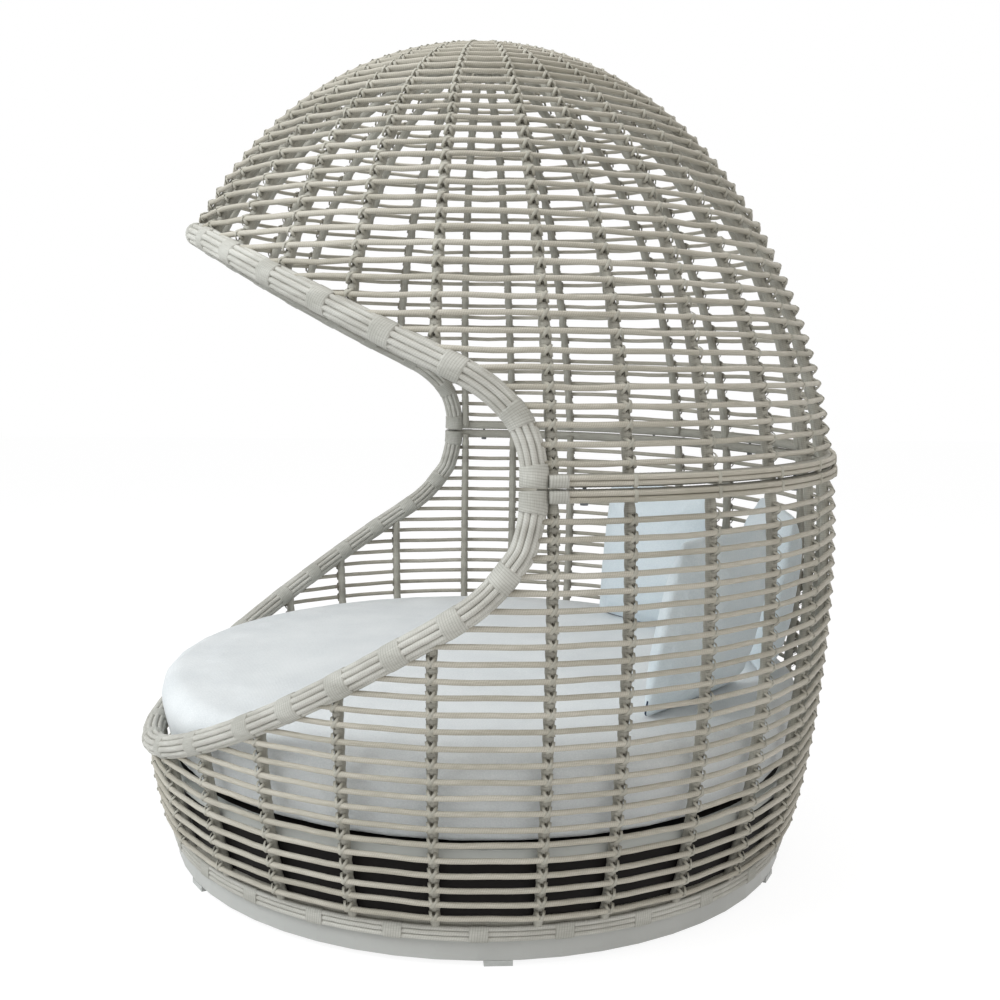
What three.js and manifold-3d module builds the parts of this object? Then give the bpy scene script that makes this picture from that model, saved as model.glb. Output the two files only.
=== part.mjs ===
// Round outdoor daybed: a woven basket with a mattress, under a bolted half canopy.
// Millimetres, +Z up, front at -Y, origin on the floor under the middle of the whole.
import * as THREE from 'three';
import { mergeVertices } from 'three/addons/utils/BufferGeometryUtils.js';
import Module from 'manifold-3d';

const wasm = await Module();
wasm.setup();

// Overall egg
const overallHeight = 2000;
const waistHeight = 997;
const waistRadius = 875;
const waistProud = 8;
const footRadius = 799;
const canopyLean = 18;
const touchGap = 0.3;

// Base
const glideHeight = 12;
const glideLength = 60;
const glideCount = 6;
const glideTurn = -3.4;
const plinthHeight = 45;
const plinthWall = 20;
const plinthInset = 13;
const baseHoopHeight = 46;
const baseRodHeight = 33;
const weldOverlap = 9;

// Frame and weave
const ribCount = 28;
const ribWidth = 24;
const ribDepth = 20;
const rodSize = 12;
const basketPitch = 69;
const canopyPitch = 73;
const firstRowRise = 26;
const rimTube = 28;
const rimBundle = 54;
const rimDepth = 14;
const rimOpening = 180;
const rimTilt = 35;
const junctionTurn = 2.4;
const hoopHeight = 24;
const waistGap = 5;
const crownRadius = 140;
const boltSize = 8;
const boltHead = 16;
const boltHeadHeight = 6;

// Rims in side view: share of the way forward, share of the way from the waist
const canopyRimRise = 531;
const basketRimHeight = 292.5;
const canopyRimShares = [
  [0.004, 0], [0.004, 0.08], [0.024, 0.19], [0.066, 0.284],
  [0.168, 0.397], [0.395, 0.551], [0.703, 0.768], [1, 1],
];
const basketRimShares = [
  [0.004, 0], [0.005, 0.052], [0.02, 0.138], [0.043, 0.196], [0.133, 0.32],
  [0.328, 0.473], [0.563, 0.656], [0.821, 0.855], [1, 1],
];

// Profile handles in shares of that half's height: out from the foot or the waist, then up.
// The last one, over the crown, goes out by a share of the waist radius.
const basketHandleShares = [[0.0576, 0.114], [0.0465, 0.679]];
const canopyHandleShares = [[-0.0323, 0.424], [0.627, 1]];

// Deck
const deckHeight = 258;
const deckBand = 26;
const deckWall = 20;
const deckBoard = 6;
const beamWidth = 40;
const beamPitch = 400;
const boardJoint = 3;
const skirtWall = 3;

// Mattress and pillows
const mattressGap = 6;
const mattressThickness = 200;
const mattressCrown = 14;
const mattressEdge = 52;
const mattressShares = [
  [1.15, 0], [0.7, 0.04], [0.46, 0.16], [0.32, 0.34], [0.14, 0.54],
  [0, 0.7], [0.12, 0.87], [0.5, 0.97], [1.1, 1],
];
const pillowWidth = 430;
const pillowHeight = 430;
const pillowThickness = 150;
const pillowSeam = 8;
const pillowDrawShare = 0.05;
const pillowCornerShare = 0.06;
const pillowSquareness = 4;
const pillowFullness = 0.6;
const pillowPlaces = {
  pillow_right: { azimuth: 43, inset: 199, lean: 12 },
  pillow_middle: { azimuth: 81.5, inset: 133, lean: 8 },
  pillow_left: { azimuth: 119.5, inset: 246, lean: 6 },
};

// Small sizes
const tieWidth = 16;
const tieSlack = 1;
const rodFootShare = 0.58;
const nearShare = 0.1;

// How finely curves are cut
const pathFineness = 400;
const rimSteps = 36;
const basketRibSteps = 5;
const canopyRibSteps = 7;
const bundleSteps = 3;
const capSteps = 3;
const boltSides = 8;
const rimTubeSides = 6;
const mattressSegments = 36;
const crownSteps = 4;
const pillowCells = 8;

function finish(color, roughness, metalness) {
  return new THREE.MeshStandardMaterial({ color, roughness, metalness });
}
const aluminium = finish('#9a9b97', 0.55, 0.6);
const wicker = finish('#a79f8e', 0.85, 0);
const wickerLight = finish('#b9b4a6', 0.85, 0);
const board = finish('#4a4a48', 0.8, 0);
const fabric = finish('#d5dde1', 0.95, 0);
const pillowFabric = finish('#cfdbe2', 0.95, 0);
const steel = finish('#5c5e60', 0.4, 0.9);
const rubber = finish('#b9bcba', 0.8, 0);

const turn = THREE.MathUtils.degToRad;
const bay = 2 * Math.PI / ribCount;
const front = -Math.PI / 2;
const plinthTop = glideHeight + plinthHeight;
const up = new THREE.Vector3(0, 0, 1);

// Ribs all round from the front; the two at the ends of the rims stand just behind them
function besideRim(azimuth) {
  if (Math.abs(Math.sin(azimuth)) > Math.sin(bay / 4)) return azimuth;
  return Math.cos(azimuth) > 0 ? turn(junctionTurn) : Math.PI - turn(junctionTurn);
}
const ribAzimuths = Array.from({ length: ribCount }, (_, i) => besideRim(front + i * bay));

const daybed = new THREE.Group();

function addPiece(name, geometry, material) {
  const piece = new THREE.Mesh(geometry, material);
  piece.name = name;
  daybed.add(piece);
  return piece;
}

// Closed body through a row of rings, each ring with the same count of points
function loft(rings, closed = false, capTriangles = null) {
  const count = rings[0].length;
  const points = rings.flat();
  const triangles = [];
  const spans = closed ? rings.length : rings.length - 1;
  for (let i = 0; i < spans; i += 1) {
    const here = i * count;
    const next = ((i + 1) % rings.length) * count;
    for (let j = 0; j < count; j += 1) {
      const k = (j + 1) % count;
      triangles.push([here + j, here + k, next + k], [here + j, next + k, next + j]);
    }
  }
  if (!closed) {
    const last = (rings.length - 1) * count;
    const caps = capTriangles ?? rings[0].slice(2).map((_, j) => [0, j + 1, j + 2]);
    for (const [a, b, c] of caps) {
      triangles.push([c, b, a], [last + a, last + b, last + c]);
    }
  }
  return outward(points, triangles);
}

function outward(points, triangles) {
  let volume = 0;
  for (const [a, b, c] of triangles) {
    volume += points[a].dot(new THREE.Vector3().crossVectors(points[b], points[c]));
  }
  const geometry = new THREE.BufferGeometry();
  const corners = points.flatMap((point) => point.toArray());
  geometry.setAttribute('position', new THREE.Float32BufferAttribute(corners, 3));
  geometry.setIndex(triangles.flatMap(([a, b, c]) => (volume < 0 ? [a, c, b] : [a, b, c])));
  return geometry;
}

function toSolid(geometry) {
  const clean = geometry.clone();
  clean.deleteAttribute('normal');
  clean.deleteAttribute('uv');
  const merged = mergeVertices(clean);
  const vertProperties = Float32Array.from(merged.attributes.position.array);
  const triVerts = Uint32Array.from(merged.index.array);
  return new wasm.Manifold(new wasm.Mesh({ numProp: 3, vertProperties, triVerts }));
}

function fromSolid(solid) {
  const mesh = solid.getMesh();
  const geometry = new THREE.BufferGeometry();
  geometry.setAttribute('position', new THREE.BufferAttribute(mesh.vertProperties, 3));
  geometry.setIndex(new THREE.BufferAttribute(mesh.triVerts, 1));
  return geometry;
}

// The two halves of the shell, as curves of radius and height
const basketRise = waistHeight - plinthTop;
const canopyRise = overallHeight - waistHeight;
function handle([out, climb], radius, base, rise) {
  return new THREE.Vector2(radius + out * rise, base + climb * rise);
}
const basketProfile = new THREE.CubicBezierCurve(
  new THREE.Vector2(footRadius, plinthTop),
  handle(basketHandleShares[0], footRadius, plinthTop, basketRise),
  handle(basketHandleShares[1], waistRadius, plinthTop, basketRise),
  new THREE.Vector2(waistRadius, waistHeight),
);
const canopyProfile = new THREE.CubicBezierCurve(
  new THREE.Vector2(waistRadius, waistHeight),
  handle(canopyHandleShares[0], waistRadius, waistHeight, canopyRise),
  new THREE.Vector2(canopyHandleShares[1][0] * waistRadius, waistHeight + canopyHandleShares[1][1] * canopyRise),
  new THREE.Vector2(0, overallHeight),
);

// The canopy leans forward a little towards its top
function leanAt(height) {
  const climb = Math.max(0, (height - waistHeight) / canopyRise);
  return -canopyLean * (1 - (1 - climb) ** 2);
}

// A point under the outside of the weave, and the frame of directions there
function shellFrame(profile, share, azimuth, depth) {
  const point = profile.getPointAt(share);
  const slope = profile.getTangentAt(share);
  const outDirection = new THREE.Vector3(Math.cos(azimuth), Math.sin(azimuth), 0);
  const normal = outDirection.clone().multiplyScalar(slope.y).addScaledVector(up, -slope.x).normalize();
  const origin = outDirection.clone().multiplyScalar(point.x).addScaledVector(up, point.y);
  origin.y += leanAt(point.y);
  origin.addScaledVector(normal, -depth);
  return { origin, normal, side: new THREE.Vector3(-Math.sin(azimuth), Math.cos(azimuth), 0) };
}

function shareAtHeight(profile, height, depth = 0) {
  let low = 0;
  let high = 1;
  for (let i = 0; i < 40; i += 1) {
    const middle = (low + high) / 2;
    if (shellFrame(profile, middle, 0, depth).origin.z < height) low = middle;
    else high = middle;
  }
  return (low + high) / 2;
}

const rectangle = (width, height) => [
  [-width / 2, -height / 2], [width / 2, -height / 2], [width / 2, height / 2], [-width / 2, height / 2],
];

// Section points at an angle from the way the opening lies, turned out from the shell by the tilt
const rimPoint = (towards, radius, angle) => [
  towards * radius * Math.cos(angle + turn(rimTilt)), radius * Math.sin(angle + turn(rimTilt)),
];
const tubeSection = (towards) => Array.from({ length: rimTubeSides }, (_, i) => (
  rimPoint(towards, rimTube / 2, 2 * Math.PI * i / rimTubeSides)
));
const placeRing = (section, origin, across, out) => section.map(
  ([x, y]) => origin.clone().addScaledVector(across, x).addScaledVector(out, y),
);

// Level hoop of a given outline, whole or between two azimuths, with a corner at every rib
function hoopOf(outline, start = null) {
  const corners = Array.from({ length: 2 * ribCount }, (_, i) => i * bay / 2);
  const margin = start + nearShare * bay;
  const between = corners.filter((azimuth) => azimuth > margin && azimuth < Math.PI - margin);
  const azimuths = start === null ? corners : [start, ...between, Math.PI - start];
  const rings = azimuths.map((azimuth) => {
    const out = new THREE.Vector3(Math.cos(azimuth), Math.sin(azimuth), 0);
    return outline.map(([radius, height]) => out.clone().multiplyScalar(radius).addScaledVector(up, height));
  });
  return loft(rings, start === null);
}
const hoop = (inner, outer, bottom, top, start) => (
  hoopOf([[inner, bottom], [outer, bottom], [outer, top], [inner, top]], start)
);

// Section swept along points whose shell normals are known
function sweepAlong(stations, section, capTriangles = null) {
  const rings = stations.map(({ origin, normal }, i) => {
    const before = stations[Math.max(0, i - 1)].origin;
    const after = stations[Math.min(stations.length - 1, i + 1)].origin;
    const along = after.clone().sub(before).normalize();
    const across = new THREE.Vector3().crossVectors(along, normal).normalize();
    const out = new THREE.Vector3().crossVectors(across, along).normalize();
    return placeRing(section, origin, across, out);
  });
  return loft(rings, false, capTriangles);
}

// Rim path, from the junction at +X over the front to the junction at -X, at one depth
function rimStations(profile, shares, start, rise, depth, steps) {
  const tip = start + rise;
  const tipRadius = profile.getPointAt(shareAtHeight(profile, tip)).x;
  const reach = tipRadius - leanAt(tip);
  const sideView = new THREE.SplineCurve(shares.map(([forward, climb]) => new THREE.Vector2(
    -forward * reach,
    start + climb * rise,
  )));
  const half = [];
  for (let i = 0; i <= pathFineness; i += 1) {
    const progress = 1 - (1 - i / pathFineness) ** 2;
    const { x: forward, y: height } = sideView.getPoint(progress);
    const share = shareAtHeight(profile, height);
    const radius = profile.getPointAt(share).x;
    const turned = THREE.MathUtils.clamp((forward - leanAt(height)) / radius, -1, 1);
    half.push({ share, azimuth: i === pathFineness ? front : Math.asin(turned) });
  }
  const path = half.map(({ share, azimuth }) => shellFrame(profile, share, azimuth, depth));
  const mirrored = half.slice(0, -1).reverse().map(
    ({ share, azimuth }) => shellFrame(profile, share, Math.PI - azimuth, depth),
  );
  return evenStations([...path, ...mirrored], steps);
}

// The same path with its stations at equal steps along it
function evenStations(path, steps) {
  const lengths = [0];
  for (let i = 1; i < path.length; i += 1) {
    lengths.push(lengths[i - 1] + path[i].origin.distanceTo(path[i - 1].origin));
  }
  const total = lengths[lengths.length - 1];
  const stations = [];
  let at = 0;
  for (let i = 0; i <= steps; i += 1) {
    const goal = total * i / steps;
    while (at < lengths.length - 2 && lengths[at + 1] < goal) at += 1;
    const blend = (goal - lengths[at]) / (lengths[at + 1] - lengths[at]);
    stations.push({
      origin: path[at].origin.clone().lerp(path[at + 1].origin, blend),
      normal: path[at].normal.clone().lerp(path[at + 1].normal, blend).normalize(),
    });
  }
  return stations;
}

const canopyFoot = waistHeight + waistGap / 2;
const basketHead = waistHeight - waistGap / 2;
const ribSeat = touchGap + Math.tan(bay / 2) * ribWidth / 2;
const frameDepth = rodSize + ribSeat + ribDepth / 2;
const canopyRim = rimStations(
  canopyProfile, canopyRimShares, canopyFoot, canopyRimRise, rimDepth, rimSteps,
);
const basketRim = rimStations(
  basketProfile, basketRimShares, basketHead, basketRimHeight - basketHead, rimDepth, rimSteps,
);

function distanceToPath(point, stations) {
  const near = new THREE.Vector3();
  let least = Infinity;
  for (let i = 1; i < stations.length; i += 1) {
    new THREE.Line3(stations[i - 1].origin, stations[i].origin).closestPointToPoint(point, true, near);
    least = Math.min(least, near.distanceTo(point));
  }
  return least;
}

// Keeps what is above the split for the canopy, or below it for the basket
function trimAtWaist(solid, above) {
  const block = new THREE.CylinderGeometry(2 * waistRadius, 2 * waistRadius, waistHeight, ribCount);
  block.rotateX(Math.PI / 2);
  block.translate(0, 0, above ? canopyFoot - waistHeight / 2 : basketHead + waistHeight / 2);
  return solid.subtract(toSolid(block));
}

// Bare aluminium band under the weave, and its pads
const plinthOuter = footRadius - plinthInset;
addPiece(
  'plinth_band',
  hoop(plinthOuter - plinthWall, plinthOuter, glideHeight, plinthTop),
  aluminium,
);
for (let i = 0; i < glideCount; i += 1) {
  const pad = new THREE.BoxGeometry(plinthWall, glideLength, glideHeight - touchGap);
  const glide = addPiece(`foot_glide_${i + 1}`, pad, rubber);
  const azimuth = turn(glideTurn) + 2 * Math.PI * i / glideCount;
  const centre = plinthOuter - plinthWall / 2;
  glide.position.set(centre * Math.cos(azimuth), centre * Math.sin(azimuth), (glideHeight - touchGap) / 2);
  glide.rotation.z = azimuth;
}

// Welded aluminium frame of each half: hoops, rim tube and ribs
const waistRodOuter = waistRadius + waistProud;
const hoopOuter = waistRodOuter - rodSize - touchGap;
const hoopInner = hoopOuter - ribDepth;
const basketRodOuter = waistProud
  + basketProfile.getPointAt(shareAtHeight(basketProfile, basketHead - hoopHeight)).x;
const basketHoopOuter = basketRodOuter - rodSize - touchGap;
const hoopStart = -Math.asin(canopyRimShares[0][0]) / 4;
const boltBayShares = [0.5, 3.5, 5.5, 8.5, 10.5, 13.5];
const boltRadius = (hoopInner + hoopOuter) / 2;
const baseOuter = footRadius - rodSize - touchGap;
const baseBottom = plinthTop + touchGap;
const basketFootShare = shareAtHeight(
  basketProfile, baseBottom + baseHoopHeight - weldOverlap, frameDepth,
);
const basketHeadShare = shareAtHeight(basketProfile, basketHead - hoopHeight / 2);
const canopyFootShare = shareAtHeight(canopyProfile, canopyFoot + hoopHeight / 2);
const canopyLength = canopyProfile.getLength();
const canopyHeadShare = 1 - (crownRadius - ribWidth / 2) / canopyLength;
const atFront = (azimuth) => Math.sin(azimuth) < -Math.sin(bay / 2);

// Share of the profile at which a rib reaches the middle of its rim tube
function rimCrossing(profile, stations, azimuth, from, to) {
  const distances = Array.from({ length: pathFineness + 1 }, (_, i) => {
    const share = from + (to - from) * i / pathFineness;
    return distanceToPath(shellFrame(profile, share, azimuth, frameDepth).origin, stations);
  });
  const nearest = distances.indexOf(Math.min(...distances));
  return from + (to - from) * nearest / pathFineness;
}

function ribFrames(profile, azimuth, from, to, steps) {
  return Array.from({ length: steps + 1 }, (_, i) => shellFrame(
    profile, from + (to - from) * i / steps, azimuth, frameDepth,
  ));
}

function ribBody(frames) {
  const section = rectangle(ribWidth, ribDepth);
  return loft(frames.map(({ origin, side, normal }) => placeRing(section, origin, side, normal)));
}

const basketRibs = ribAzimuths.map((azimuth) => {
  const short = atFront(azimuth);
  const head = short
    ? rimCrossing(basketProfile, basketRim, azimuth, basketFootShare, basketHeadShare)
    : basketHeadShare;
  const steps = Math.max(2, Math.round(basketRibSteps * (head - basketFootShare)));
  return ribFrames(basketProfile, azimuth, basketFootShare, head, steps);
});
const canopyRibs = ribAzimuths.map((azimuth) => {
  const short = atFront(azimuth);
  const foot = short
    ? rimCrossing(canopyProfile, canopyRim, azimuth, canopyFootShare, canopyHeadShare)
    : canopyFootShare;
  const steps = Math.max(2, Math.round(canopyRibSteps * (canopyHeadShare - foot)));
  return ribFrames(canopyProfile, azimuth, foot, canopyHeadShare, steps);
});

function boltHole(azimuth) {
  const radius = boltSize / 2 + touchGap;
  const hole = new THREE.CylinderGeometry(radius, radius, waistRadius, boltSides);
  hole.rotateX(Math.PI / 2);
  hole.translate(boltRadius * Math.cos(azimuth), boltRadius * Math.sin(azimuth), waistHeight);
  return toSolid(hole);
}

const bore = (solid) => boltBayShares.reduce((rest, at) => rest.subtract(boltHole(at * bay)), solid);
const union = (geometries) => geometries.map(toSolid).reduce((sum, piece) => sum.add(piece));

const basketSolid = union([
  hoop(baseOuter - ribDepth, baseOuter, baseBottom, baseBottom + baseHoopHeight),
  hoop(basketHoopOuter - ribDepth, basketHoopOuter, basketHead - hoopHeight, basketHead, hoopStart),
  sweepAlong(basketRim, tubeSection(1)),
  ...basketRibs.map(ribBody),
]);
addPiece('basket_frame', fromSolid(bore(trimAtWaist(basketSolid, false))), aluminium);

// Flat hub that the canopy ribs run into at the top
const crownEdge = shellFrame(canopyProfile, canopyHeadShare, 0, rodSize + ribSeat).origin.z;
const disc = (radius, bottom, top) => {
  const body = new THREE.CylinderGeometry(radius, radius, top - bottom, ribCount);
  body.rotateX(Math.PI / 2);
  body.translate(0, leanAt(overallHeight), (top + bottom) / 2);
  return body;
};
const canopySolid = union([
  hoop(hoopInner, hoopOuter, canopyFoot, canopyFoot + hoopHeight, hoopStart),
  sweepAlong(canopyRim, tubeSection(-1)),
  disc(crownRadius, crownEdge - ribDepth, crownEdge),
  ...canopyRibs.map(ribBody),
]);
addPiece('canopy_frame', fromSolid(bore(trimAtWaist(canopySolid, true))), aluminium);

// Bolts up through both waist hoops into threaded inserts
boltBayShares.forEach((at, i) => {
  const azimuth = at * bay;
  const top = basketHead - hoopHeight - touchGap;
  const tip = canopyFoot + hoopHeight - boltSize / 2;
  const outline = [
    [0, top - boltHeadHeight], [boltHead / 2, top - boltHeadHeight], [boltHead / 2, top],
    [boltSize / 2, top], [boltSize / 2, tip], [0, tip],
  ];
  const body = new THREE.LatheGeometry(outline.map(([x, y]) => new THREE.Vector2(x, y)), boltSides);
  body.rotateX(Math.PI / 2);
  body.translate(boltRadius * Math.cos(azimuth), boltRadius * Math.sin(azimuth), 0);
  addPiece(`waist_bolt_${i + 1}`, body, steel);
});

// Wicker rods bundled round each rim tube, open on the side where the ribs come in
const bundleHalf = Math.PI - turn(rimOpening) / 2;
const bundleInner = (rimTube / 2 + touchGap) / Math.cos(bundleHalf / bundleSteps);
function bundleSection(towards) {
  const arc = (radius, sign) => Array.from({ length: bundleSteps + 1 }, (_, i) => (
    rimPoint(towards, radius, sign * (-bundleHalf + 2 * bundleHalf * i / bundleSteps))
  ));
  return [...arc(rimBundle / 2, 1), ...arc(bundleInner, -1)];
}

function bundle(stations, towards, above) {
  const section = bundleSection(towards);
  const corners = section.map(([x, y]) => new THREE.Vector2(x, y));
  const turnsWith = (face) => THREE.ShapeUtils.area(face) * THREE.ShapeUtils.area(corners) > 0;
  const caps = THREE.ShapeUtils.triangulateShape(corners, []).map(([a, b, c]) => (
    turnsWith([corners[a], corners[b], corners[c]]) ? [a, b, c] : [a, c, b]
  ));
  return fromSolid(trimAtWaist(toSolid(sweepAlong(stations, section, caps)), above));
}

addPiece('basket_rim_rods', bundle(basketRim, 1, false), wickerLight);
addPiece('canopy_rim_rods', bundle(canopyRim, -1, true), wickerLight);

// Pairs of rods outside the waist hoops, and three outside the base hoop
const rodStart = (rimBundle / 2 + rodSize / 2) / waistRadius;
addPiece(
  'basket_waist_rods',
  hoop(basketRodOuter - rodSize, basketRodOuter, basketHead - hoopHeight, basketHead, rodStart),
  wicker,
);
addPiece(
  'canopy_waist_rods',
  hoop(waistRodOuter - rodSize, waistRodOuter, canopyFoot, canopyFoot + hoopHeight, rodStart),
  wicker,
);
addPiece(
  'base_rods',
  hoop(footRadius - rodSize, footRadius, baseBottom, baseBottom + baseRodHeight),
  wicker,
);

// Weave: level rods laid outside the ribs, tied by a strand up the back
const rodSection = [
  [-rodSize * rodFootShare, -rodSize / 2], [rodSize * rodFootShare, -rodSize / 2], [0, rodSize / 2],
];
const rodClearance = rimBundle / 2 + rodSize / 2 + touchGap;

function rodEnd(profile, share, rim, direction) {
  const back = Math.PI / 2;
  const step = direction * Math.PI / pathFineness;
  for (let i = 0; i <= pathFineness; i += 1) {
    const azimuth = back + step * i;
    const { origin } = shellFrame(profile, share, azimuth, rodSize / 2);
    if (distanceToPath(origin, rim) < rodClearance) return azimuth - step;
  }
  return null;
}

function weaveRow(profile, share, rim) {
  const place = (azimuth) => shellFrame(profile, share, azimuth, rodSize / 2);
  const rightEnd = rodEnd(profile, share, rim, -1);
  const leftEnd = rodEnd(profile, share, rim, 1);
  if (rightEnd === null || leftEnd === null) {
    const rings = ribAzimuths.map((azimuth) => {
      const { origin, normal, side } = place(azimuth);
      const across = new THREE.Vector3().crossVectors(side, normal);
      return placeRing(rodSection, origin, across, normal);
    });
    return loft(rings, true);
  }
  const near = nearShare * bay;
  const azimuths = ribAzimuths.filter((azimuth) => azimuth >= rightEnd && azimuth <= leftEnd);
  if (azimuths[0] - rightEnd > near) azimuths.unshift(rightEnd);
  if (leftEnd - azimuths[azimuths.length - 1] > near) azimuths.push(leftEnd);
  return sweepAlong(azimuths.map(place), rodSection);
}

function weave(profile, rim, firstRise, pitch, length) {
  const shares = [];
  for (let rise = firstRise; rise < length; rise += pitch) shares.push(rise / profile.getLength());
  const strandShares = shares.flatMap((share, i) => (i ? [(share + shares[i - 1]) / 2, share] : [share]));
  const tie = strandShares.map((share) => {
    const { origin, normal, side } = shellFrame(profile, share, Math.PI / 2, (rodSize - tieSlack) / 2);
    return placeRing(rectangle(tieWidth, rodSize - 2 * tieSlack), origin, side, normal);
  });
  return fromSolid(union([...shares.map((share) => weaveRow(profile, share, rim)), loft(tie)]));
}

const basketWeaveRise = baseBottom + baseRodHeight + firstRowRise - plinthTop;
const waistReach = hoopHeight + waistGap + rodSize;
addPiece(
  'basket_weave',
  weave(basketProfile, basketRim, basketWeaveRise, basketPitch, basketProfile.getLength() - waistReach),
  wicker,
);
const crownReach = crownRadius + rodSize;
addPiece(
  'canopy_weave',
  weave(canopyProfile, canopyRim, hoopHeight + firstRowRise, canopyPitch, canopyLength - crownReach),
  wicker,
);

// Close-woven cap over the hub
const capOutline = Array.from({ length: capSteps + 1 }, (_, i) => canopyProfile.getPointAt(
  1 - (crownRadius / canopyLength) * (1 - i / capSteps),
));
const capBottom = crownEdge + touchGap;
const capFloor = [new THREE.Vector2(0, capBottom), new THREE.Vector2(capOutline[0].x, capBottom)];
const cap = new THREE.LatheGeometry([...capFloor, ...capOutline], ribCount);
cap.rotateX(Math.PI / 2);
cap.translate(0, leanAt(overallHeight), 0);
addPiece('crown_cap', cap, wicker);

// Deck: a band seated inside the ribs, three beams and two boards
const deckBottom = deckHeight - deckBand;
function ribInnerRadius(frames, height) {
  const inner = frames.map(({ origin, normal }) => origin.clone().addScaledVector(normal, -ribDepth / 2));
  for (let i = 1; i < inner.length; i += 1) {
    if (inner[i].z >= height) {
      const blend = (height - inner[i - 1].z) / (inner[i].z - inner[i - 1].z);
      return inner[i - 1].clone().lerp(inner[i], blend).setZ(0).length();
    }
  }
  return Infinity;
}
const insideRibs = (height) => (
  Math.min(...basketRibs.map((frames) => ribInnerRadius(frames, height))) - touchGap
);
const deckOuter = insideRibs(deckBottom);
const deckInner = deckOuter - deckWall;
addPiece('deck_ring', hoop(deckInner, deckOuter, deckBottom, deckHeight), aluminium);

// Dark skirt that closes the space under the deck, between the foot hoop and the deck ring
const skirtBottom = baseBottom + baseHoopHeight + touchGap;
const skirtTop = deckBottom - touchGap;
const skirtFoot = Math.min(baseOuter, insideRibs(skirtBottom));
addPiece(
  'deck_skirt',
  hoopOf([
    [skirtFoot - skirtWall, skirtBottom], [skirtFoot, skirtBottom],
    [deckOuter, skirtTop], [deckOuter - skirtWall, skirtTop],
  ]),
  board,
);

const boardRadius = deckInner - touchGap / Math.cos(bay / 4);
function boardShape(sign) {
  const points = [];
  for (let i = 0; i <= ribCount; i += 1) {
    const azimuth = sign * Math.PI / 2 * (2 * i / ribCount - 1);
    const across = Math.max(boardRadius * Math.cos(azimuth), boardJoint / 2);
    points.push(new THREE.Vector2(sign * across, boardRadius * Math.sin(azimuth)));
  }
  return new THREE.Shape(points);
}

for (const [name, sign] of [['deck_board_right', 1], ['deck_board_left', -1]]) {
  const body = new THREE.ExtrudeGeometry(boardShape(sign), { depth: deckBoard, bevelEnabled: false });
  const piece = addPiece(name, body, board);
  piece.position.z = deckHeight - deckBoard;
}

[-1, 0, 1].forEach((row, i) => {
  const middle = row * beamPitch;
  const reach = (edge) => Math.sqrt((deckInner * Math.cos(bay / 4) - touchGap) ** 2 - edge ** 2);
  const near = middle - beamWidth / 2;
  const far = middle + beamWidth / 2;
  const outline = [[-reach(near), near], [reach(near), near], [reach(far), far], [-reach(far), far]];
  const shape = new THREE.Shape(outline.map(([x, y]) => new THREE.Vector2(x, y)));
  const depth = deckBand - deckBoard - touchGap;
  const beam = addPiece(
    `deck_beam_${i + 1}`,
    new THREE.ExtrudeGeometry(shape, { depth, bevelEnabled: false }),
    aluminium,
  );
  beam.position.z = deckBottom;
});

// Mattress: round, crowned on top, with the lower part of its side drawn in, clear of the ribs all round
const mattressBottom = deckHeight + touchGap;
const mattressTop = mattressBottom + mattressThickness;
const mattressRadius = Math.min(...mattressShares.map(([inset, rise]) => (
  insideRibs(mattressBottom + rise * mattressThickness) + inset * mattressEdge
))) - mattressGap;
const crownEdgeRadius = mattressRadius - mattressShares[mattressShares.length - 1][0] * mattressEdge;
const crownAt = (radius) => mattressCrown * (1 - (radius / crownEdgeRadius) ** 2);
function mattressOutline() {
  const side = mattressShares.map(([inset, rise]) => new THREE.Vector2(
    mattressRadius - inset * mattressEdge,
    mattressBottom + rise * mattressThickness,
  ));
  const edge = side[side.length - 1];
  const crown = Array.from({ length: crownSteps }, (_, i) => {
    const radius = edge.x * (1 - (i + 1) / crownSteps);
    return new THREE.Vector2(radius, edge.y + crownAt(radius));
  });
  return [new THREE.Vector2(0, mattressBottom), ...side, ...crown];
}
const mattress = new THREE.LatheGeometry(mattressOutline(), mattressSegments);
mattress.rotateX(Math.PI / 2);
addPiece('mattress', mattress, fabric);

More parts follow.
